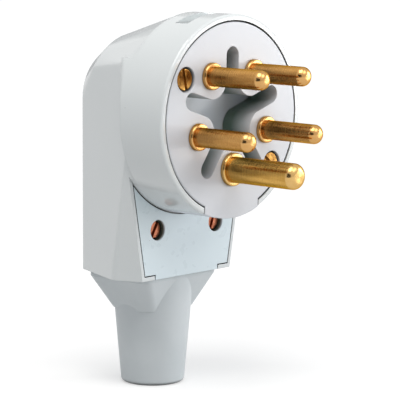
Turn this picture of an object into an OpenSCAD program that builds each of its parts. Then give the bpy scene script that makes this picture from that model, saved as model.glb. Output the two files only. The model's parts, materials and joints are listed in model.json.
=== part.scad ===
// Angled three-phase plug: a round contact face with five brass pins in front of a tapered grip
// body, and a cable sleeve that leaves the body downwards.
// The origin is the centre of the contact face. The pins point to -Y and +Z is up.

/* [Contact face] */
// Radius of the insulating contact face
carrier_r = 28.95; // [28:0.05:32]
// Thickness of the carrier, from the face to its back
carrier_t = 13; // [12.5:0.1:13.5]
// Thickness of the carrier's wider front flange
flange_t = 5; // [4:0.5:6]
// How far the flange stands out past the carrier's back part
flange_step = 1.95; // [1.5:0.05:2.5]
// Depth of the star recess
star_depth = 11.3; // [9:0.1:11.5]
// Width of a star arm
star_arm_w = 5.5; // [4:0.1:6]
// Reach of a star arm from the centre
star_reach = 21.5; // [18:0.5:22]
// Radius of the land left round each pin
land_r = 6; // [5.5:0.1:6.3]
// Width of the key at the lower edge of the carrier
key_w = 24; // [18:0.5:25]
// Wall of the key behind the flange
key_wall = 2.6; // [2:0.1:3]

/* [Pins] */
// Radius of the circle that the pins stand on
pin_circle_r = 16; // [15.5:0.1:16.5]
// Radius of a line or neutral pin
line_pin_r = 3; // [2.5:0.1:3.2]
// Length of a line or neutral pin in front of the face
line_pin_len = 22; // [18:0.5:26]
// Radius of the earth pin
earth_pin_r = 4; // [3.5:0.1:4.2]
// Length of the earth pin in front of the face
earth_pin_len = 27; // [24:0.5:32]
// Height of the collar at the foot of a pin
collar_h = 1.4; // [1:0.1:2]
// Width of the collar beyond the pin
collar_w = 1.1; // [0.8:0.1:1.3]
// Radius of the edge round the tip of a pin
tip_r = 2.3; // [1.5:0.1:2.4]

/* [Terminals] */
// Wall of a terminal round the tail of its pin
terminal_wall = 2; // [1.5:0.1:2.2]
// Length of a terminal
terminal_len = 13; // [11:0.5:14]
// Radius of the wire hole in a line or neutral terminal
wire_r = 1.9; // [1.5:0.1:2.1]
// Radius of a terminal screw's thread
terminal_screw_r = 1.5; // [1.2:0.1:1.6]

/* [Drum] */
// Wall of the housing round the contact face
rim_t = 1.8; // [1.5:0.1:2.5]
// Visible gap between the rim and the contact face
face_gap = 0.45; // [0.3:0.05:0.6]
// Length of the drum behind the contact face
drum_len = 17; // [16:0.5:18]
// Radius of the rounded edges of the drum
drum_edge_r = 0.8; // [0.3:0.1:1.2]
// Distance of the latch groove behind the face
groove_front = 7; // [6:0.5:8]
// Width of the latch groove
groove_w = 5; // [3:0.5:6]
// Depth of the latch groove at the crown of the drum
groove_depth = 2.7; // [1:0.1:2.8]

/* [Grip body] */
// Distance of the back of the body from the contact face
body_back = 51; // [50:0.5:54]
// Half width of the back between the grip flats
back_half_w = 14.8; // [14:0.1:17]
// Step from the drum down to a grip flat
flat_step = 3.4; // [2.5:0.1:4.5]
// Length over which the drum runs out beside a grip flat
shoulder_len = 4.5; // [3:0.5:5]
// Height of the centre of the back's arch above the pin circle's centre
arch_rise = 3.4; // [2:0.2:5]
// Radius of the crown between the drum and the back
crown_r = 25.2; // [24:0.1:26]
// Width of that crown over its height
crown_squeeze = 0.92; // [0.86:0.01:1]
// Height of the centre of that crown
crown_rise = -1.5; // [-2.5:0.1:0]
// Distance of that crown from the contact face
crown_y = 41.5; // [39:0.5:43]
// Depth of the body below the centre of the contact face
body_drop = 50.8; // [49.5:0.1:53]
// Half width of the body's front at its lower end
foot_half_w = 19.8; // [19:0.1:21]
// Lean of the lower side walls, in degrees
side_lean = 10.1; // [9:0.1:11]
// Flare of the lower side walls towards the back, in degrees
side_flare = 22.8; // [18:0.2:26]
// Radius of the soft edge between a lower side wall and a grip flat
crease_r = 4; // [2:0.5:6]
// Radius of the edge round the back
back_edge_r = 3.5; // [3:0.5:6]
// Wall of the housing
wall = 2.5; // [2:0.1:2.8]

/* [Cover plate] */
// Distance of the cover's face behind the end of the drum
cover_setback = 1.7; // [1.2:0.1:2.2]
// Thickness of the cover plate
cover_t = 3; // [2.5:0.1:3.4]
// Width of the housing's frame beside the cover
frame_w = 1.5; // [1.2:0.1:2]
// Width of the ledge that the cover rests on
ledge_w = 2.5; // [2:0.1:2.8]
// Half width of the tongue at the foot of the cover
tongue_half_w = 14; // [12:0.5:15]
// Length of that tongue
tongue_h = 1.6; // [1.2:0.1:2.2]

/* [Screws] */
// Radius of the circle that the carrier screws stand on
carrier_screw_circle_r = 24.1; // [23.9:0.1:24.4]
// Sideways place of the cover screws
cover_screw_x = 13.1; // [12.8:0.1:13.4]
// Height of the cover screws above the foot of the body
cover_screw_rise = 15.4; // [15:0.1:15.8]
// Radius of a carrier screw's head
carrier_head_r = 3.3; // [2.8:0.1:3.4]
// Depth of a carrier screw's head below the face
carrier_head_sink = 0.5; // [0.3:0.1:2.5]
// Radius of a cover screw's head
cover_head_r = 2.8; // [2.4:0.1:2.9]
// Depth of a cover screw's head below the cover
cover_head_sink = 1.5; // [1:0.1:2.2]
// Height of a screw head
head_h = 1.6; // [1.2:0.1:1.8]
// Radius of the screw threads
thread_r = 1.6; // [1.3:0.1:1.7]
// Width of a screwdriver slot
slot_w = 1.1; // [0.8:0.1:1.2]

/* [Cable sleeve] */
// Distance of the sleeve's axis behind the contact face
sleeve_y = 33.5; // [33:0.1:34]
// Radius of the cable bore
sleeve_bore_r = 6.5; // [5:0.1:6.7]
// Radius of the sleeve at its lower end
sleeve_end_r = 10.1; // [9:0.1:11]
// Radius of the sleeve's cone at its upper end
sleeve_top_r = 13.1; // [12:0.1:13.4]
// Length of the sleeve below the body
sleeve_len = 35.7; // [30:0.1:45]
// Width of the sleeve's flared top
flare_w = 34.4; // [30:0.2:35]
// Depth of the sleeve's flared top, front to back
flare_d = 25.8; // [24:0.2:27]
// Length over which the flare runs out into the cone
flare_len = 11.5; // [9:0.5:16]
// Width of the flare where it runs out
flare_end_w = 22.4; // [20:0.2:24]
// Depth of the flare where it runs out
flare_end_d = 17.8; // [16:0.2:20]
// Radius of the flare's corners
flare_corner_r = 4; // [2:0.5:6]

/* [Clearances] */
// Clearance of a turned piece in its hole
turned_gap = 0.05; // [0.02:0.01:0.1]
// Clearance of a plate or plug in its seat
seat_gap = 0.15; // [0.05:0.05:0.3]
// Clearance of a screw in a plain hole
screw_gap = 0.2; // [0.1:0.05:0.4]
// Visible gap round the cover plate
cover_gap = 0.35; // [0.2:0.05:0.5]

/* [Hidden] */
$fn = 96;
hull_fn = 48;
thin = 0.02;
far = 200;

shell_color = "#dde0dd";
face_color = "#e4e5ea";
cover_color = "#d3dde2";
sleeve_color = "#c4c8c8";
brass_color = "#b98a35";
copper_color = "#c27b4c";
steel_color = "#b9bcc0";
clamp_color = "#8d9496";

// Places of the pins: angles from the top, clockwise seen from the front
pin_step = 72;
line_angles = [-108, -36, 36];
neutral_angle = 108;
earth_angle = 180;
carrier_screw_angles = [-58.5, 130.5];
function on_circle(a, r = pin_circle_r) = [r * sin(a), r * cos(a)];

// Drum and carrier
socket_r = carrier_r + face_gap;
drum_r = socket_r + rim_t;
carrier_back_r = carrier_r - flange_step;
drum_bore_r = carrier_back_r + 2 * seat_gap;
key_gap = 0.3;
land_bite = 0.12;
head_edge_r = 0.3;

// Grip flats: x = flat_at(y), a vertical plane on each side
flat_front = drum_r - flat_step;
flat_lean = atan((flat_front - back_half_w) / (body_back - drum_len));
function flat_at(y, inset = 0) =
    flat_front - (y - drum_len) * tan(flat_lean) - inset / cos(flat_lean);

// Shoulder where the drum's round side runs out towards a grip flat
shoulder_y = drum_len + shoulder_len;
shoulder_half_w = flat_at(shoulder_y);
shoulder_h = sqrt(pow(drum_r, 2) - pow(shoulder_half_w, 2));
shoulder_drop = 0.7;
drum_run = 1.15;

// Lower side walls: x = side_at(y, z), a leaning and flaring plane on each side
cover_y = drum_len + cover_setback;
side_norm = sqrt(1 + pow(tan(side_lean), 2) + pow(tan(side_flare), 2));
function side_at(y, z, inset = 0) = foot_half_w + (z + body_drop) * tan(side_lean)
    + (y - cover_y) * tan(side_flare) - inset * side_norm;

// Depth at which the two walls meet at height z, and the height at which they meet at depth y
function crease_y(z, inset) = drum_len + (flat_at(drum_len, inset) - side_at(drum_len, z, inset))
    / (tan(flat_lean) + tan(side_flare));
function crease_z(y, inset) =
    (flat_at(y, inset) - side_at(y, -body_drop, inset)) / tan(side_lean) - body_drop;

// Cover and its seat
cover_back = cover_y + cover_t;
ledge_back = cover_back + ledge_w;
cover_head_room = 0.4;
cover_boss_wall = 1.2;
cover_boss_floor = 1.6;
cover_bore_r = cover_head_r + cover_head_room;
cover_boss_r = cover_bore_r + cover_boss_wall;
cover_boss_back = cover_y + cover_head_sink + head_h + cover_boss_floor;
insert_wall = 1.2;
insert_r = thread_r + insert_wall;
boss_wall = 1.4;
boss_r = insert_r + boss_wall;
insert_len = 8;
insert_end_room = 1;
carrier_head_room = 0.55;
carrier_bore_r = carrier_head_r + carrier_head_room;
carrier_boss_front = carrier_t + seat_gap;
carrier_screw_places = [for (a = carrier_screw_angles) on_circle(a, carrier_screw_circle_r)];
cover_screw_places = [for (s = [-1, 1]) [s * cover_screw_x, cover_screw_rise - body_drop]];
slot_depth = 0.9;
carrier_slot_angles = [77, 40];
cover_slot_angles = [-59, -70];

// Sleeve through the floor of the body
neck_wall = 2.3;
neck_r = sleeve_bore_r + neck_wall;
sleeve_collar_w = 1.9;
sleeve_collar_r = neck_r + sleeve_collar_w;
sleeve_collar_h = 2;
sleeve_edge_r = 1.5;
flare_rim_h = 1.2;
floor_top = -body_drop + wall;
sleeve_collar_top = floor_top + seat_gap + sleeve_collar_h;
sleeve_top = -body_drop - seat_gap;
sleeve_end = sleeve_top - sleeve_len;

// Cord clamp on two posts
clamp_h = 5;
clamp_t = 3;
clamp_front = ledge_back + seat_gap;
clamp_back = clamp_front + clamp_t;
clamp_screw_r = 1.3;
clamp_head_r = 2.2;
clamp_head_h = 1.4;
clamp_post_r = 2.6;
clamp_room = 0.5;
clamp_x = sleeve_bore_r + clamp_post_r + clamp_room;
clamp_z = sleeve_collar_top + clamp_room + clamp_post_r;
clamp_half_w = clamp_x + clamp_post_r;
clamp_screw_places = [for (s = [-1, 1]) [s * clamp_x, clamp_z]];
clamp_saddle = 1;
clamp_screw_len = 11;

// Pieces behind the carrier
tail_r_drop = 0.5;
tail_len = 7;
terminal_screw_stand = 1.2;
tip_flat_r = 0.3;
terminal_front = carrier_t + turned_gap;

// Flat shape in X and Z, drawn out from depth y0 to y1
module slab(y0, y1) {
    translate([0, y1, 0]) rotate([90, 0, 0]) linear_extrude(y1 - y0) children();
}

// Round bar along Y
module rod(at, y0, y1, r) {
    slab(y0, y1) translate(at) circle(r);
}

// Turned piece along Y at a place on the face: its profile holds radius and height towards -Y
module turned(at) {
    translate([at[0], 0, at[1]]) rotate([90, 0, 0]) rotate_extrude() children();
}

// Half of a bar's profile with a rounded upper edge
module bar_profile(r, h0, h1, edge) {
    intersection() {
        translate([0, h0]) square([r, h1 - h0]);
        union() {
            translate([0, h0]) square([r, h1 - h0 - edge]);
            translate([0, h0]) square([r - edge, h1 - h0]);
            translate([r - edge, h1 - edge]) circle(edge);
        }
    }
}

// Slotted screw that looks to -Y, its head's top at depth y
module slotted_screw(at, y, head_r, head_height, shank_r, shank_end, slot_angle) {
    difference() {
        turned(at) {
            bar_profile(head_r, -y - head_height, -y, head_edge_r);
            translate([0, -shank_end]) square([shank_r, shank_end - y - head_height / 2]);
        }
        translate([at[0], y, at[1]]) rotate([0, slot_angle, 0])
            cube([2 * head_r + 1, 2 * slot_depth, slot_w], center = true);
    }
}

// Arms of the star recess, in between the pins
module star_arms() {
    half = star_arm_w / 2;
    for (i = [0:4]) rotate(i * pin_step) {
        translate([-half, 0]) square([star_arm_w, star_reach - half]);
        translate([0, star_reach - half]) circle(half);
    }
}

// Outline of the star recess's hub, with a round land left at each pin
module hub_outline() {
    land_d = (star_arm_w / 2 + land_r - land_bite) / sin(pin_step / 2);
    difference() {
        rotate(-90) circle(land_d, $fn = 5);
        for (i = [0:4]) rotate(i * pin_step) translate([0, -land_d]) circle(land_r);
    }
}

// Grip body's outer form, or its inner form when it is inset by a wall
module body_form(inset) {
    edge = max(back_edge_r - inset, 0.5);
    soft = max(crease_r - inset, 0.5);
    ring_y = body_back - inset - edge;
    ring_r = flat_at(ring_y, inset + edge);
    low = -body_drop + inset;
    crown_half = flat_at(crown_y, inset);
    front_half = flat_at(drum_len, inset);
    seam_z = crease_z(drum_len, inset);
    intersection() {
        translate([-far / 2, drum_len, low]) cube([far, far, far]);
        hull($fn = hull_fn) {
            slab(drum_len, drum_len + thin) {
                intersection() {
                    circle(drum_r - inset);
                    translate([-front_half, seam_z]) square([2 * front_half, far]);
                }
                polygon([for (s = [-1, 1]) [s * front_half, seam_z],
                    for (s = [1, -1]) [s * side_at(drum_len, low, inset), low]]);
            }
            slab(shoulder_y, shoulder_y + thin) translate([inset - shoulder_half_w, 0])
                square([2 * (shoulder_half_w - inset), shoulder_h - inset - shoulder_drop]);
            slab(crown_y, crown_y + thin) intersection() {
                translate([0, crown_rise]) scale([crown_squeeze, 1]) circle(crown_r - inset);
                translate([-crown_half, 0]) square([2 * crown_half, far]);
            }
            translate([0, ring_y, arch_rise]) rotate([90, 0, 0])
                rotate_extrude() translate([ring_r, 0]) circle(edge);
            for (s = [-1, 1]) {
                translate([s * ring_r, ring_y, low - edge]) sphere(edge);
                for (z = [low - soft, seam_z])
                    translate([s * flat_at(crease_y(z, inset + soft), inset + soft),
                        crease_y(z, inset + soft), z]) sphere(soft);
            }
        }
    }
}

// Outline of the cover plate, grown by a clearance and shrunk by a ledge
module cover_outline(grow, with_tongue) {
    low = -body_drop + tongue_h - grow;
    half_low = side_at(cover_y, low) - frame_w + grow;
    half_top = side_at(cover_y, 0) - frame_w + grow;
    difference() {
        union() {
            polygon([[-half_low, low], [half_low, low], [half_top, 0], [-half_top, 0]]);
            if (with_tongue) translate([-tongue_half_w - grow, -body_drop - grow])
                square([2 * (tongue_half_w + grow), far / 4]);
        }
        circle(drum_r + cover_gap - grow);
        translate([-far / 2, -drum_r / 2]) square(far);
    }
}

// Moulded housing: drum, grip body and the posts inside
module housing() {
    color(shell_color) difference() {
        union() {
            difference() {
                union() {
                    drum();
                    difference() {
                        body_form(0);
                        slab(0, cover_y) difference() {
                            translate([-far / 2, -far]) square([far, far - drum_r / 2]);
                            circle(drum_r);
                        }
                    }
                }
                housing_cavity();
            }
            for (at = carrier_screw_places)
                rod(at, carrier_boss_front, carrier_boss_front + insert_len, boss_r);
            intersection() {
                body_form(wall / 2);
                union() {
                    for (at = cover_screw_places)
                        rod(at, cover_boss_back + seat_gap, body_back, boss_r);
                    for (at = clamp_screw_places)
                        rod(at, clamp_back + seat_gap, body_back, clamp_post_r);
                }
            }
        }
        for (at = carrier_screw_places)
            rod(at, carrier_t, carrier_t + insert_len + wall, insert_r + turned_gap);
        for (at = cover_screw_places)
            rod(at, cover_boss_back, cover_boss_back + seat_gap + insert_len + insert_end_room,
                insert_r + turned_gap);
        for (at = clamp_screw_places)
            rod(at, clamp_back, clamp_front + clamp_screw_len + insert_end_room,
                clamp_screw_r + turned_gap);
        translate([-far / 2, groove_front, drum_r - groove_depth]) cube([far, groove_w, far]);
    }
}

// Drum round the carrier: above its middle its side runs out to the grip flats
module drum() {
    end_y = drum_len + drum_run * shoulder_len;
    end_half = drum_r - drum_run * (drum_r - shoulder_half_w);
    intersection() {
        turned([0, 0]) bar_profile(drum_r, -end_y, 0, drum_edge_r);
        union() {
            translate([-far / 2, -1, -far / 2]) cube([far, drum_len + 1, far]);
            linear_extrude(shoulder_h + 1) polygon([[drum_r, drum_len - 1], [drum_r, drum_len],
                [end_half, end_y], [-end_half, end_y], [-drum_r, drum_len], [-drum_r, drum_len - 1]]);
        }
    }
}

// Everything that is hollow in the housing
module housing_cavity() {
    rod([0, 0], -1, flange_t + seat_gap, socket_r);
    rod([0, 0], flange_t, drum_len, drum_bore_r);
    intersection() {
        rod([0, 0], drum_len - 1, ledge_back + 1, drum_bore_r);
        union() {
            body_form(wall);
            rod([0, 0], drum_len - 1, drum_len + thin, flat_at(drum_len, wall));
        }
    }
    intersection() {
        body_form(wall);
        translate([-far / 2, ledge_back, -far / 2]) cube(far);
    }
    slab(-1, cover_y + thin) difference() {
        translate([-key_w / 2 - key_gap, -drum_r - 1]) square([key_w + 2 * key_gap, drum_r / 2]);
        circle(drum_bore_r - key_wall);
    }
    slab(cover_y - thin, cover_back + seat_gap) cover_outline(cover_gap, true);
    slab(cover_back, ledge_back + thin) cover_outline(-ledge_w, false);
    for (at = cover_screw_places) rod(at, cover_y, ledge_back + thin, cover_boss_r + 2 * seat_gap);
    translate([0, sleeve_y, -body_drop - 1]) cylinder(r = neck_r + seat_gap, h = wall + 2);
    translate([-neck_r - seat_gap, cover_y - 1, -body_drop - 1])
        cube([2 * (neck_r + seat_gap), sleeve_y - cover_y + 1, wall + 2]);
    translate([-sleeve_collar_r - seat_gap, cover_y - 1, floor_top])
        cube([2 * (sleeve_collar_r + seat_gap), ledge_back - cover_y + 2, sleeve_collar_h + 3 * seat_gap]);
}

// Insulating carrier of the pins, with the star recess and the key
module contact_carrier() {
    color(face_color) difference() {
        union() {
            turned([0, 0]) bar_profile(carrier_r, -flange_t, 0, drum_edge_r / 2);
            rod([0, 0], flange_t / 2, carrier_t, carrier_back_r);
            slab(0, cover_y - seat_gap) intersection() {
                difference() {
                    circle(drum_r - key_gap / 2);
                    circle(drum_bore_r - key_wall + seat_gap);
                }
                translate([-key_w / 2, -far]) square([key_w, far - drum_r / 2]);
            }
        }
        slab(-1, star_depth) {
            star_arms();
            hub_outline();
        }
        for (a = concat(line_angles, [neutral_angle])) rod(on_circle(a), -1, far, line_pin_r + turned_gap);
        rod(on_circle(earth_angle), -1, far, earth_pin_r + turned_gap);
        for (at = carrier_screw_places) {
            rod(at, -1, carrier_head_sink + head_h, carrier_bore_r);
            rod(at, 0, far, thread_r + screw_gap);
        }
    }
}

// Plate that closes the lower front of the housing
module cover_plate() {
    color(cover_color) difference() {
        union() {
            slab(cover_y, cover_back) cover_outline(0, true);
            for (at = cover_screw_places) rod(at, cover_y + thin, cover_boss_back, cover_boss_r);
        }
        for (at = cover_screw_places) {
            rod(at, 0, cover_y + cover_head_sink + head_h, cover_bore_r);
            rod(at, 0, far, thread_r + screw_gap);
        }
    }
}

// Tapered cable sleeve, held by its neck in the floor of the housing
module cable_sleeve() {
    cone_foot = sleeve_end + sleeve_edge_r;
    color(sleeve_color) translate([0, sleeve_y, 0]) difference() {
        union() {
            rotate_extrude() {
                polygon([[0, cone_foot], [sleeve_end_r, cone_foot],
                    [sleeve_top_r, sleeve_top], [0, sleeve_top]]);
                bar_edge(sleeve_end_r, sleeve_end, sleeve_edge_r);
            }
            hull($fn = hull_fn) {
                translate([0, 0, sleeve_top - flare_rim_h]) linear_extrude(flare_rim_h)
                    flare_outline(flare_w, flare_d);
                translate([0, 0, sleeve_top - flare_len]) linear_extrude(thin)
                    flare_outline(flare_end_w, flare_end_d);
            }
            translate([0, 0, sleeve_top - wall])
                cylinder(r = neck_r, h = sleeve_collar_top - sleeve_top + wall);
            translate([0, 0, floor_top + seat_gap]) cylinder(r = sleeve_collar_r, h = sleeve_collar_h);
        }
        translate([0, 0, sleeve_end - 1]) cylinder(r = sleeve_bore_r, h = far);
    }
}

// Rounded rectangle of the sleeve's flare
module flare_outline(w, d) {
    for (x = [-1, 1], y = [-1, 1])
        translate([x * (w / 2 - flare_corner_r), y * (d / 2 - flare_corner_r)]) circle(flare_corner_r);
}

// Rounded lower edge of the sleeve, as half of a profile
module bar_edge(r, z, edge) {
    translate([0, z]) square([r - edge, edge]);
    translate([r - edge, z + edge]) intersection() {
        circle(edge);
        translate([0, -edge]) square(edge);
    }
}

// Turned contact pin with a collar in front, a domed tip and a thinner tail
module pin(angle, r, len) {
    color(brass_color) turned(on_circle(angle)) {
        bar_profile(r, -carrier_t, len, min(tip_r, r - tip_flat_r));
        bar_profile(r + collar_w, 0, collar_h, collar_h / 3);
        translate([0, -carrier_t - tail_len]) square([r - tail_r_drop, carrier_t + tail_len]);
    }
}

module line_pin_1() { pin(line_angles[0], line_pin_r, line_pin_len); }
module line_pin_2() { pin(line_angles[1], line_pin_r, line_pin_len); }
module line_pin_3() { pin(line_angles[2], line_pin_r, line_pin_len); }
module neutral_pin() { pin(neutral_angle, line_pin_r, line_pin_len); }
module earth_pin() { pin(earth_angle, earth_pin_r, earth_pin_len); }

// Screw terminal on the tail of a pin, with its screw hole on the outer side
module terminal(angle, r) {
    tail = r - tail_r_drop;
    at = on_circle(angle);
    color(brass_color) difference() {
        rod(at, terminal_front, terminal_front + terminal_len, tail + terminal_wall);
        rod(at, 0, terminal_front + tail_len, tail + turned_gap);
        rod(at, 0, far, wire_r);
        terminal_screw_frame(angle) cylinder(r = terminal_screw_r + turned_gap, h = far);
    }
}

// Frame of a terminal's screw: on the pin's axis, with Z away from the middle of the face
module terminal_screw_frame(angle) {
    at = on_circle(angle);
    translate([at[0], terminal_front + tail_len + (terminal_len - tail_len) / 2, at[1]])
        rotate([0, angle, 0]) children();
}

module line_terminal_1() { terminal(line_angles[0], line_pin_r); }
module line_terminal_2() { terminal(line_angles[1], line_pin_r); }
module line_terminal_3() { terminal(line_angles[2], line_pin_r); }
module neutral_terminal() { terminal(neutral_angle, line_pin_r); }
module earth_terminal() { terminal(earth_angle, earth_pin_r); }

// Slotted clamping screws of the terminals
module terminal_screws() {
    color(steel_color) {
        for (a = concat(line_angles, [neutral_angle])) terminal_screw(a, line_pin_r);
        terminal_screw(earth_angle, earth_pin_r);
    }
}

module terminal_screw(angle, r) {
    top = r - tail_r_drop + terminal_wall + terminal_screw_stand;
    terminal_screw_frame(angle) difference() {
        translate([0, 0, wire_r]) cylinder(r = terminal_screw_r, h = top - wire_r);
        translate([0, 0, top]) cube([2 * terminal_screw_r + 1, slot_w, 2 * slot_depth], center = true);
    }
}

// Slotted screws that hold the carrier
module carrier_screws() {
    color(brass_color) for (i = [0, 1])
        slotted_screw(carrier_screw_places[i], carrier_head_sink, carrier_head_r, head_h, thread_r,
            carrier_boss_front + insert_len, carrier_slot_angles[i]);
}

// Threaded inserts for the carrier screws
module carrier_inserts() {
    color(brass_color) for (at = carrier_screw_places)
        insert(at, carrier_boss_front + turned_gap);
}

// Slotted screws that hold the cover plate
module cover_screws() {
    color(copper_color) for (i = [0, 1])
        slotted_screw(cover_screw_places[i], cover_y + cover_head_sink, cover_head_r, head_h, thread_r,
            cover_boss_back + seat_gap + insert_len, cover_slot_angles[i]);
}

// Threaded inserts for the cover screws
module cover_inserts() {
    color(brass_color) for (at = cover_screw_places)
        insert(at, cover_boss_back + seat_gap + turned_gap);
}

// Brass sleeve that takes a screw's thread
module insert(at, y) {
    difference() {
        rod(at, y, y + insert_len - turned_gap, insert_r);
        rod(at, 0, far, thread_r + turned_gap);
    }
}

// Bar that grips the cord above the sleeve
module cord_clamp() {
    color(clamp_color) difference() {
        slab(clamp_front, clamp_back) translate([-clamp_half_w, clamp_z - clamp_h / 2])
            square([2 * clamp_half_w, clamp_h]);
        translate([0, sleeve_y, -far / 2]) cylinder(r = sleeve_y - clamp_back + clamp_saddle, h = far);
        for (at = clamp_screw_places) rod(at, 0, far, clamp_screw_r + screw_gap);
    }
}

// Slotted screws of the cord clamp
module cord_clamp_screws() {
    color(steel_color) for (at = clamp_screw_places)
        slotted_screw(at, clamp_front - turned_gap - clamp_head_h, clamp_head_r, clamp_head_h,
            clamp_screw_r, clamp_front + clamp_screw_len, 0);
}

housing();
contact_carrier();
cover_plate();
cable_sleeve();
line_pin_1();
line_pin_2();
line_pin_3();
neutral_pin();
earth_pin();
line_terminal_1();
line_terminal_2();
line_terminal_3();
neutral_terminal();
earth_terminal();
terminal_screws();
carrier_screws();
carrier_inserts();
cover_screws();
cover_inserts();
cord_clamp();
cord_clamp_screws();
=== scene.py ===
"""Looks of the angled three-phase plug: the finishes of its pieces, its studio and its camera."""
import json
import math

import bmesh
import bpy
from mathutils import Matrix, Vector


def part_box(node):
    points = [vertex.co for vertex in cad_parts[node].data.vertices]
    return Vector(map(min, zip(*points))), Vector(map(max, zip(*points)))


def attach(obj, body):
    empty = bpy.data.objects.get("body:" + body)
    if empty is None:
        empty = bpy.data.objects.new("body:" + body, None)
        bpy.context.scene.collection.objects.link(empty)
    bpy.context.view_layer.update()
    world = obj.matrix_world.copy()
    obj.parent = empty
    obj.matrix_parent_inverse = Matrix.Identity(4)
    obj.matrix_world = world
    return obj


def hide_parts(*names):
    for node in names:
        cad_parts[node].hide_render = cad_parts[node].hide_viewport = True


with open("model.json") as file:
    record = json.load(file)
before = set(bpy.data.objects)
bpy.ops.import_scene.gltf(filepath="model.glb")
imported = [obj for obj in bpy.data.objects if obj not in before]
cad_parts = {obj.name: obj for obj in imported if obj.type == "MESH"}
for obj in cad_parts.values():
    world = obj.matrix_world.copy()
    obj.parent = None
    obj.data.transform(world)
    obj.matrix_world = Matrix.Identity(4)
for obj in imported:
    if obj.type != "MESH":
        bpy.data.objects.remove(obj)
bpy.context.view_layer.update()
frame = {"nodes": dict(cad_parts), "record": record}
scene = bpy.context.scene
nodes = frame["nodes"]
MM = 0.001

# Viewpoint: the camera looks at a point left of and below the centre of the contact face
CAMERA_AZIMUTH = -47.10
CAMERA_ELEVATION = 8.04
CAMERA_ROLL = 0.26
CAMERA_DISTANCE = 0.6830
CAMERA_TARGET = Vector((-0.01424, 0.0, -0.02404))
CAMERA_LENS = 204.4
CAMERA_CLIP_START = 0.01
SENSOR_WIDTH = 36.0

# Star recess: a radius that holds it, and the depths between which the painted shade on its wall and the
# tone of its floor come in
RECESS_DEPTH = 11.3 * MM
RECESS_REACH = 28.0 * MM
RECESS_WALL = (0.3 * MM, 0.7 * RECESS_DEPTH)
RECESS_FLOOR = (RECESS_DEPTH - 0.2 * MM, RECESS_DEPTH)

# Screw wells of the cover: a radius that holds one, and the depths between which its painted shade comes in
WELL_REACH = 4.0 * MM
WELL_WALL = (0.15 * MM, 0.9 * MM)
REACH_FADE = 0.05 * MM

# Edge radii in the shading. The shell's grows over the crown, from the drum back and from the flats up
PLASTIC_EDGE = 0.25 * MM
CROWN_EDGE = 2.5 * MM
CROWN_DEPTHS = (13.0 * MM, 16.0 * MM)
CROWN_HEIGHTS = (6.0 * MM, 14.0 * MM)
SLEEVE_EDGE = 0.5 * MM
PIN_EDGE = 0.12 * MM
SCREW_EDGE = 0.2 * MM
EDGE_SAMPLES = 6

# Painted shade in gap and corner hollows, from occlusion: the range of occlusion over which it fades out
GAP_OPENNESS = (0.15, 0.75)
GAP_SAMPLES = 8

# Specks in the plastic: solid core as a share of a speck's size, strength, and sharpness of the draw
SPECK_CORE = 0.6
SPECK_STRENGTH = 0.7
SPECK_STEP = 0.01

# Turned form of a pin: its collar on the face, its domed tip, and its thinner tail behind the carrier
COLLAR_HEIGHT = 1.4 * MM
COLLAR_EDGE = COLLAR_HEIGHT / 3.0
TIP_EDGE = 2.3 * MM
TAIL_LENGTH = 7.0 * MM
TAIL_DROP = 0.5 * MM
POLISH_FADE = 0.2 * MM
PIN_SIDES = 96
ARC_STEPS = 14
SHARP_ANGLE = math.radians(35.0)
WELD_DISTANCE = 0.001 * MM

# Brass tones of each pin: clean and stained shank, clean and dull polish
LINE_TONES = ((202, 154, 92), (150, 105, 54), (206, 162, 106), (190, 144, 84))
EARTH_TONES = ((216, 172, 96), (168, 128, 62), (212, 176, 116), (198, 158, 94))
PIN_TONES = {
    "line_pin_1": LINE_TONES,
    "line_pin_2": LINE_TONES,
    "line_pin_3": LINE_TONES,
    "neutral_pin": LINE_TONES,
    "earth_pin": EARTH_TONES,
}

# Light from all round, and the floor with its glow near the plug and far from it
WHITE = (1.0, 1.0, 1.0, 1.0)
WORLD_TINT = (0.95, 0.97, 1.0, 1.0)
WORLD_STRENGTH = 0.42
FLOOR_SIZE = 6.0
FLOOR_TINT = (0.6, 0.6, 0.6, 1.0)
GLOW_NEAR = 0.45
GLOW_FAR = 0.78
GLOW_REACH = 1.3
CARD_ROUGHNESS = 0.9


def srgb(red, green, blue):
    """Linear colour of an sRGB colour given from 0 to 255."""
    def linear(value):
        value /= 255.0
        return value / 12.92 if value <= 0.04045 else ((value + 0.055) / 1.055) ** 2.4
    return (linear(red), linear(green), linear(blue), 1.0)


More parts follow.
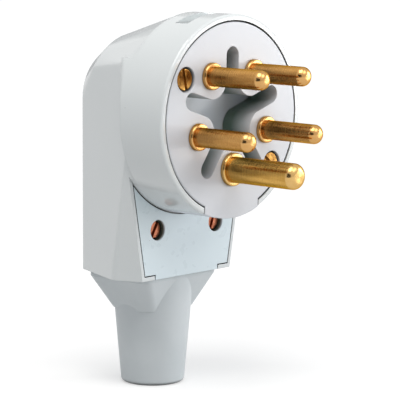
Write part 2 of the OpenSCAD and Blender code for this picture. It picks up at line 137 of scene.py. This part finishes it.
class Graph:
    """Short way to write a material's nodes."""

    def __init__(self, name):
        self.material = bpy.data.materials.new(name)
        self.material.use_nodes = True
        self.tree = self.material.node_tree
        self.tree.nodes.clear()
        self.shader = self.add("ShaderNodeBsdfPrincipled")
        output = self.add("ShaderNodeOutputMaterial")
        self.link(self.shader.outputs[0], output.inputs["Surface"])
        self.place = self.add("ShaderNodeTexCoord").outputs["Object"]

    def add(self, kind, **settings):
        node = self.tree.nodes.new(kind)
        for key, value in settings.items():
            setattr(node, key, value)
        return node

    def link(self, source, target):
        self.tree.links.new(source, target)

    def set(self, **values):
        """Values of the shader that are the same all over."""
        for key, value in values.items():
            self.shader.inputs[key.replace("_", " ")].default_value = value

    def feed(self, **sources):
        """Values of the shader that vary over the surface."""
        for key, source in sources.items():
            self.link(source, self.shader.inputs[key.replace("_", " ")])

    def stretched(self, scale):
        """Object coordinates, scaled by axis."""
        mapping = self.add("ShaderNodeMapping")
        mapping.inputs["Scale"].default_value = scale
        self.link(self.place, mapping.inputs["Vector"])
        return mapping.outputs["Vector"]

    def axis(self, name):
        """One object coordinate, in metres."""
        node = self.add("ShaderNodeSeparateXYZ")
        self.link(self.place, node.inputs[0])
        return node.outputs[name]

    def noise(self, scale, detail, rough=0.5, stretch=None):
        """Cloudy pattern from 0 to 1, which may be stretched by axis."""
        node = self.add("ShaderNodeTexNoise")
        node.inputs["Scale"].default_value = scale
        node.inputs["Detail"].default_value = detail
        node.inputs["Roughness"].default_value = rough
        self.link(self.stretched(stretch) if stretch else self.place, node.inputs["Vector"])
        return node.outputs["Fac"]

    def span(self, value, source, target=(0.0, 1.0)):
        """Maps one range of a value to another, and holds it at both ends."""
        node = self.add("ShaderNodeMapRange")
        node.inputs["From Min"].default_value = source[0]
        node.inputs["From Max"].default_value = source[1]
        node.inputs["To Min"].default_value = target[0]
        node.inputs["To Max"].default_value = target[1]
        self.link(value, node.inputs["Value"])
        return node.outputs["Result"]

    def mix(self, factor, first, second):
        """Mixes two colours, each fixed or from a socket."""
        node = self.add("ShaderNodeMix", data_type="RGBA")
        self.link(factor, node.inputs["Factor"])
        for socket, colour in ((node.inputs["A"], first), (node.inputs["B"], second)):
            if isinstance(colour, tuple):
                socket.default_value = colour
            else:
                self.link(colour, socket)
        return node.outputs["Result"]

    def blend(self, factor, first, number):
        """Mixes a value with a fixed number."""
        node = self.add("ShaderNodeMix", data_type="FLOAT")
        self.link(factor, node.inputs["Factor"])
        self.link(first, node.inputs["A"])
        node.inputs["B"].default_value = number
        return node.outputs["Result"]

    def calculate(self, operation, first, second):
        node = self.add("ShaderNodeMath", operation=operation)
        self.link(first, node.inputs[0])
        self.link(second, node.inputs[1])
        return node.outputs[0]

    def product(self, first, second):
        return self.calculate("MULTIPLY", first, second)

    def larger(self, first, second):
        return self.calculate("MAXIMUM", first, second)

    def within(self, centre, radius):
        """1 within a radius of an axis along Y, which is given as (x, z), and 0 beyond it."""
        x, z = centre
        node = self.add("ShaderNodeVectorMath", operation="DISTANCE")
        self.link(self.stretched((1.0, 0.0, 1.0)), node.inputs[0])
        node.inputs[1].default_value = (x, 0.0, z)
        return self.span(node.outputs["Value"], (radius, radius - REACH_FADE))

    def painted_gap_shade(self, reach):
        """Mask for painted shade from occlusion: 0 deep in a gap or corner, 1 on open faces."""
        node = self.add("ShaderNodeAmbientOcclusion", samples=GAP_SAMPLES)
        node.inputs["Distance"].default_value = reach
        return self.span(node.outputs["AO"], GAP_OPENNESS)

    def specks(self, scale, size, rarity):
        """Strength of sparse small dots, 0 between them."""
        cells = self.add("ShaderNodeTexVoronoi")
        cells.inputs["Scale"].default_value = scale
        self.link(self.place, cells.inputs["Vector"])
        dots = self.span(cells.outputs["Distance"], (size, size * SPECK_CORE), (0.0, SPECK_STRENGTH))
        draw = self.add("ShaderNodeSeparateColor")
        self.link(cells.outputs["Color"], draw.inputs[0])
        return self.product(dots, self.span(draw.outputs[0], (rarity, rarity + SPECK_STEP)))

    def round_edges(self, radius):
        """Normals with rounded edges, of a fixed radius or one from a socket."""
        node = self.add("ShaderNodeBevel", samples=EDGE_SAMPLES)
        if isinstance(radius, float):
            node.inputs["Radius"].default_value = radius
        else:
            self.link(radius, node.inputs["Radius"])
        return node.outputs["Normal"]

    def bump(self, height, distance, strength, under):
        """Normals of a fine relief on top of other normals."""
        node = self.add("ShaderNodeBump")
        node.inputs["Strength"].default_value = strength
        node.inputs["Distance"].default_value = distance
        self.link(height, node.inputs["Height"])
        self.link(under, node.inputs["Normal"])
        return node.outputs["Normal"]


def crown_radius(graph):
    """Edge radius of the shell, which is larger on its crown."""
    behind = graph.span(graph.axis("Y"), CROWN_DEPTHS)
    above = graph.span(graph.axis("Z"), CROWN_HEIGHTS)
    return graph.span(graph.product(behind, above), (0.0, 1.0), (PLASTIC_EDGE, CROWN_EDGE))


def moulded(name, colour, shade, roughness, coat=0.15, wells=(), soft_crown=False):
    """Glossy moulded plastic: faint clouding, sparse specks, painted shade in each gap and corner and down
    the walls of its wells, and fine flow ripple.
    """
    graph = Graph(name)
    clouds = graph.span(graph.noise(scale=35.0, detail=1.0), (0.25, 0.75))
    tint = graph.mix(clouds, colour, shade)
    tint = graph.mix(graph.specks(scale=420.0, size=0.06, rarity=0.86), tint, srgb(128, 128, 120))
    # Painted shade down the walls of the wells by depth; the recess floor gets its own paler tone
    for centre, radius, depths, tone in wells:
        sunk = graph.product(graph.span(graph.axis("Y"), depths), graph.within(centre, radius))
        tint = graph.mix(sunk, tint, tone)
    # Painted shade in each gap and corner, from occlusion
    tint = graph.mix(graph.painted_gap_shade(reach=1.2 * MM), srgb(70, 74, 74), tint)
    wear = graph.noise(scale=260.0, detail=2.0)
    wear = graph.span(wear, (0.3, 0.7), (roughness - 0.012, roughness + 0.018))
    edges = graph.round_edges(crown_radius(graph) if soft_crown else PLASTIC_EDGE)
    flow = graph.noise(scale=420.0, detail=2.0)
    ripple = graph.bump(flow, distance=0.02 * MM, strength=0.4, under=edges)
    graph.feed(Base_Color=tint, Roughness=wear, Normal=ripple)
    graph.set(IOR=1.5, Coat_Weight=coat, Coat_Roughness=roughness / 2.0)
    return graph.material


def recess_shade_and_floor_tones():
    """Tones of the star recess in the contact face: painted shade that darkens its wall with depth, and a
    paler tone on its floor.
    """
    middle = (0.0, 0.0)
    return (
        (middle, RECESS_REACH, RECESS_WALL, srgb(88, 110, 99)),
        (middle, RECESS_REACH, RECESS_FLOOR, srgb(196, 204, 212)),
    )


def cover_well_shade():
    """Painted shade that darkens the well round each screw of the cover with depth."""
    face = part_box("cover_plate")[0].y
    depths = (face + WELL_WALL[0], face + WELL_WALL[1])
    low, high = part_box("cover_screws")
    head_r = (high.z - low.z) / 2.0
    centres = [(x, low.z + head_r) for x in (low.x + head_r, high.x - head_r)]
    return [(centre, WELL_REACH, depths, srgb(96, 100, 86)) for centre in centres]


def soft_sleeve():
    """Satin soft plastic with a fine matt grain and light scuffs."""
    graph = Graph("sleeve_soft_grey")
    clouds = graph.span(graph.noise(scale=60.0, detail=4.0), (0.35, 0.7))
    tint = graph.mix(clouds, srgb(208, 214, 217), srgb(199, 206, 209))
    scuffs = graph.noise(scale=30.0, detail=6.0, rough=0.7, stretch=(1.0, 1.0, 4.0))
    tint = graph.mix(graph.span(scuffs, (0.6, 0.8), (0.0, 0.3)), tint, srgb(217, 222, 224))
    # Painted shade in each gap and corner, from occlusion
    tint = graph.mix(graph.painted_gap_shade(reach=2.0 * MM), srgb(88, 92, 92), tint)
    satin = graph.span(graph.noise(scale=200.0, detail=4.0), (0.3, 0.7), (0.4, 0.52))
    edges = graph.round_edges(SLEEVE_EDGE)
    matt = graph.noise(scale=2600.0, detail=2.0)
    grain = graph.bump(matt, distance=0.015 * MM, strength=0.5, under=edges)
    graph.feed(Base_Color=tint, Roughness=satin, Normal=grain)
    graph.set(IOR=1.46)
    return graph.material


def machined(name, colour, tarnish, roughness):
    """Small turned or stamped metal piece with tarnish, and painted shade in its slot and corners."""
    graph = Graph(name)
    stain = graph.span(graph.noise(scale=420.0, detail=5.0, rough=0.6), (0.36, 0.66))
    tint = graph.mix(stain, colour, tarnish)
    # Painted shade in the slot and corners, from occlusion
    tint = graph.mix(graph.painted_gap_shade(reach=0.9 * MM), srgb(48, 28, 16), tint)
    scratches = graph.noise(scale=1400.0, detail=3.0, rough=0.7, stretch=(1.0, 1.0, 0.15))
    wear = graph.span(scratches, (0.3, 0.7), (roughness - 0.06, roughness + 0.1))
    edges = graph.round_edges(SCREW_EDGE)
    scratched = graph.bump(scratches, distance=0.01 * MM, strength=0.4, under=edges)
    graph.feed(Base_Color=tint, Roughness=wear, Normal=scratched)
    graph.set(Metallic=1.0)
    return graph.material


def pin_brass(name, length, tones):
    """Turned pin: a satin shank with lathe rings and long stains, and a polished collar and tip."""
    shank_clean, shank_stained, polish_clean, polish_dull = (srgb(*tone) for tone in tones)
    graph = Graph(name)
    along = graph.axis("Y")
    tip_start = TIP_EDGE - length
    tip = graph.span(along, (tip_start, tip_start - POLISH_FADE))
    collar = graph.span(along, (-COLLAR_HEIGHT - POLISH_FADE, -COLLAR_HEIGHT))
    polished = graph.larger(tip, collar)
    stains = graph.noise(scale=330.0, detail=3.0, rough=0.55, stretch=(1.0, 0.12, 1.0))
    shank = graph.mix(graph.span(stains, (0.36, 0.68)), shank_clean, shank_stained)
    polish = graph.mix(graph.noise(scale=500.0, detail=3.0), polish_clean, polish_dull)
    tint = graph.mix(polished, shank, polish)
    # Painted shade in tight corners, such as where the collar meets the face, from occlusion
    tint = graph.mix(graph.painted_gap_shade(reach=0.8 * MM), srgb(70, 44, 18), tint)
    rings = graph.noise(scale=900.0, detail=3.0, rough=0.7, stretch=(0.02, 4.0, 0.02))
    satin = graph.blend(polished, graph.span(rings, (0.3, 0.7), (0.2, 0.34)), 0.22)
    relief = graph.blend(polished, rings, 0.5)
    edges = graph.round_edges(PIN_EDGE)
    turned = graph.bump(relief, distance=0.012 * MM, strength=0.5, under=edges)
    tangent = graph.add("ShaderNodeTangent", direction_type="RADIAL", axis="Y")
    graph.feed(Base_Color=tint, Roughness=satin, Normal=turned, Tangent=tangent.outputs[0])
    graph.set(Metallic=1.0, Anisotropic=0.7, Anisotropic_Rotation=0.25)
    graph.set(Specular_Tint=srgb(222, 190, 136))
    return graph.material


def arc(centre_r, centre_height, radius):
    """Points of an outer edge's quarter round, from its side to its end."""
    angles = [math.pi / 2.0 * step / ARC_STEPS for step in range(ARC_STEPS + 1)]
    return [(centre_r + radius * math.cos(a), centre_height + radius * math.sin(a)) for a in angles]


def pin_outline(radius, collar_r, length, tail_end):
    """Half section of a pin as (radius, height in front of the face), from its tail to its tip."""
    tail_r = radius - TAIL_DROP
    root = TAIL_LENGTH - tail_end
    tail = [(0.0, -tail_end), (tail_r, -tail_end), (tail_r, root), (radius, root)]
    collar = [(radius, 0.0), (collar_r, 0.0)]
    collar += arc(collar_r - COLLAR_EDGE, COLLAR_HEIGHT - COLLAR_EDGE, COLLAR_EDGE)
    tip = arc(radius - TIP_EDGE, length - TIP_EDGE, TIP_EDGE)
    return tail + collar + [(radius, COLLAR_HEIGHT)] + tip + [(0.0, length)]


def turn_pin(node):
    """Pin turned round its own axis, in the place of its node."""
    low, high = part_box(node)
    axis = (low + high) / 2.0
    mount = next(m for m in frame["record"]["mounts"] if m["name"] == node)
    outline = pin_outline(mount["dims"]["r_mm"] * MM, (high.x - low.x) / 2.0, -low.y, high.y)
    shape = bmesh.new()
    points = [shape.verts.new((axis.x + r, -height, axis.z)) for r, height in outline]
    lines = [shape.edges.new(pair) for pair in zip(points, points[1:])]
    bmesh.ops.spin(shape, geom=points + lines, cent=axis, axis=(0.0, 1.0, 0.0), angle=2.0 * math.pi,
                   steps=PIN_SIDES)
    bmesh.ops.remove_doubles(shape, verts=shape.verts, dist=WELD_DISTANCE)
    bmesh.ops.recalc_face_normals(shape, faces=shape.faces)
    for face in shape.faces:
        face.smooth = True
    for edge in shape.edges:
        edge.smooth = edge.calc_face_angle(0.0) < SHARP_ANGLE
    mesh = bpy.data.meshes.new("turned_" + node)
    shape.to_mesh(mesh)
    shape.free()
    piece = bpy.data.objects.new("turned_" + node, mesh)
    scene.collection.objects.link(piece)
    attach(piece, "root")
    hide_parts(node)
    return piece


def make_finishes():
    """One finish for each material slot of the record, apart from the pins'."""
    return {
        "shell": moulded("shell_pale_grey", srgb(221, 225, 226), srgb(216, 221, 222), roughness=0.13,
                         coat=0.3, soft_crown=True),
        "face": moulded("face_pale_grey", srgb(208, 211, 216), srgb(205, 208, 214), roughness=0.32,
                        wells=recess_shade_and_floor_tones()),
        "cover": moulded("cover_blue_grey", srgb(217, 230, 235), srgb(215, 228, 234), roughness=0.28,
                         wells=cover_well_shade()),
        "sleeve": soft_sleeve(),
        "terminal_brass": machined("terminal_brass", srgb(205, 165, 95), srgb(170, 130, 66), roughness=0.35),
        "screw_brass": machined("screw_brass", srgb(190, 144, 74), srgb(104, 70, 32), roughness=0.28),
        "screw_copper": machined("screw_copper", srgb(184, 116, 88), srgb(120, 68, 48), roughness=0.3),
        "steel": machined("screw_steel", srgb(200, 202, 204), srgb(165, 168, 170), roughness=0.35),
        "clamp": moulded("clamp_grey", srgb(150, 156, 158), srgb(140, 147, 150), roughness=0.5),
    }


def dress(mesh, finish):
    mesh.materials.clear()
    mesh.materials.append(finish)


def dress_nodes():
    """Gives each node the finish of its slot, and each pin its own brass and a finer turned form."""
    finishes = make_finishes()
    for part in frame["record"]["subparts"]:
        node = part["node"]
        if node in PIN_TONES:
            finish = pin_brass(node + "_brass", -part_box(node)[0].y, PIN_TONES[node])
            dress(turn_pin(node).data, finish)
        else:
            finish = finishes[part["material_slot"]]
        dress(nodes[node].data, finish)


def add_light(name, place, aim, size, power, colour=(1.0, 1.0, 1.0)):
    """Rectangular area lamp that points at its aim."""
    lamp = bpy.data.lights.new(name, "AREA")
    lamp.shape = "RECTANGLE"
    lamp.size, lamp.size_y = size
    lamp.energy = power
    lamp.color = colour
    holder = bpy.data.objects.new(name, lamp)
    scene.collection.objects.link(holder)
    holder.location = place
    holder.rotation_euler = (Vector(aim) - Vector(place)).to_track_quat("-Z", "Y").to_euler()


def white_where_seen(tree, lit, seen):
    """Mixes two shaders: the second one for what the camera, mirrors and glass see."""
    path = tree.nodes.new("ShaderNodeLightPath")
    total = path.outputs["Is Camera Ray"]
    for ray in ("Is Glossy Ray", "Is Transmission Ray"):
        either = tree.nodes.new("ShaderNodeMath")
        either.operation = "MAXIMUM"
        tree.links.new(total, either.inputs[0])
        tree.links.new(path.outputs[ray], either.inputs[1])
        total = either.outputs[0]
    mix = tree.nodes.new("ShaderNodeMixShader")
    tree.links.new(total, mix.inputs[0])
    tree.links.new(lit, mix.inputs[1])
    tree.links.new(seen, mix.inputs[2])
    return mix.outputs[0]


def build_world():
    """Even light from all round, which is white where it is seen."""
    world = bpy.data.worlds.new("studio")
    scene.world = world
    world.use_nodes = True
    tree = world.node_tree
    tree.nodes.clear()
    lit = tree.nodes.new("ShaderNodeBackground")
    lit.inputs["Color"].default_value = WORLD_TINT
    lit.inputs["Strength"].default_value = WORLD_STRENGTH
    seen = tree.nodes.new("ShaderNodeBackground")
    seen.inputs["Color"].default_value = WHITE
    seen.inputs["Strength"].default_value = 1.0
    output = tree.nodes.new("ShaderNodeOutputWorld")
    tree.links.new(white_where_seen(tree, lit.outputs[0], seen.outputs[0]), output.inputs["Surface"])


def build_floor(height):
    """Plain white floor. It glows less near the plug, where the lamps light it, so that a shadow stays."""
    bpy.ops.mesh.primitive_plane_add(size=FLOOR_SIZE, location=(0.0, 0.0, height))
    floor = bpy.context.object
    floor.name = "floor"
    material = bpy.data.materials.new("floor_white")
    material.use_nodes = True
    tree = material.node_tree
    tree.nodes.clear()
    diffuse = tree.nodes.new("ShaderNodeBsdfDiffuse")
    diffuse.inputs["Color"].default_value = FLOOR_TINT
    place = tree.nodes.new("ShaderNodeTexCoord")
    distance = tree.nodes.new("ShaderNodeVectorMath")
    distance.operation = "LENGTH"
    tree.links.new(place.outputs["Object"], distance.inputs[0])
    fade = tree.nodes.new("ShaderNodeMapRange")
    fade.inputs["From Max"].default_value = GLOW_REACH
    fade.inputs["To Min"].default_value = GLOW_NEAR
    fade.inputs["To Max"].default_value = GLOW_FAR
    tree.links.new(distance.outputs["Value"], fade.inputs["Value"])
    glow = tree.nodes.new("ShaderNodeEmission")
    tree.links.new(fade.outputs["Result"], glow.inputs["Strength"])
    both = tree.nodes.new("ShaderNodeAddShader")
    tree.links.new(diffuse.outputs[0], both.inputs[0])
    tree.links.new(glow.outputs[0], both.inputs[1])
    output = tree.nodes.new("ShaderNodeOutputMaterial")
    tree.links.new(white_where_seen(tree, diffuse.outputs[0], both.outputs[0]), output.inputs["Surface"])
    floor.data.materials.append(material)


def add_card(name, place, size, shade):
    """Plain upright board that only gloss and polished metal mirror."""
    bpy.ops.mesh.primitive_plane_add(size=1.0, location=place, rotation=(math.pi / 2.0, 0.0, math.pi / 2.0))
    card = bpy.context.object
    card.name = name
    card.scale = (size[0], size[1], 1.0)
    material = bpy.data.materials.new(name + "_grey")
    material.use_nodes = True
    shader = material.node_tree.nodes["Principled BSDF"]
    shader.inputs["Base Color"].default_value = (shade, shade, shade, 1.0)
    shader.inputs["Roughness"].default_value = CARD_ROUGHNESS
    card.data.materials.append(material)
    card.visible_camera = False
    card.visible_diffuse = False
    card.visible_shadow = False


def build_camera():
    """Camera at the photo's angle, which looks at its target from its distance."""
    azimuth = math.radians(CAMERA_AZIMUTH)
    elevation = math.radians(CAMERA_ELEVATION)
    roll = math.radians(CAMERA_ROLL)
    level = math.cos(elevation)
    back = Vector((math.sin(azimuth) * level, -math.cos(azimuth) * level, math.sin(elevation)))
    side = Vector((math.cos(azimuth), math.sin(azimuth), 0.0))
    rise = back.cross(side)
    right = side * math.cos(roll) + rise * math.sin(roll)
    up = rise * math.cos(roll) - side * math.sin(roll)
    lens = bpy.data.cameras.new("camera")
    lens.lens = CAMERA_LENS
    lens.sensor_width = SENSOR_WIDTH
    lens.clip_start = CAMERA_CLIP_START
    camera = bpy.data.objects.new("camera", lens)
    turn = Matrix((right, up, back)).transposed().to_4x4()
    camera.matrix_world = Matrix.Translation(CAMERA_TARGET + back * CAMERA_DISTANCE) @ turn
    scene.collection.objects.link(camera)
    scene.camera = camera


dress_nodes()
build_camera()
build_world()
build_floor(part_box("cable_sleeve")[0][2])
add_card("left_card", place=(-0.9, -0.6, 0.21), size=(1.4, 0.58), shade=0.02)
add_card("rear_card", place=(0.8, 0.75, 0.22), size=(1.4, 0.7), shade=1.0)
add_light("key", place=(0.15, -0.75, 0.65), aim=(0.0, 0.0, -0.02), size=(0.6, 0.5), power=2.4)
add_light("fill", place=(0.68, -0.46, 0.1), aim=(0.0, 0.0, -0.05), size=(0.3, 0.4), power=2.8)
add_light("top", place=(-0.33, -0.18, 0.84), aim=(0.0, 0.02, 0.0), size=(0.6, 0.6), power=5.5,
          colour=(1.0, 0.985, 0.95))
scene.view_settings.view_transform = "Standard"
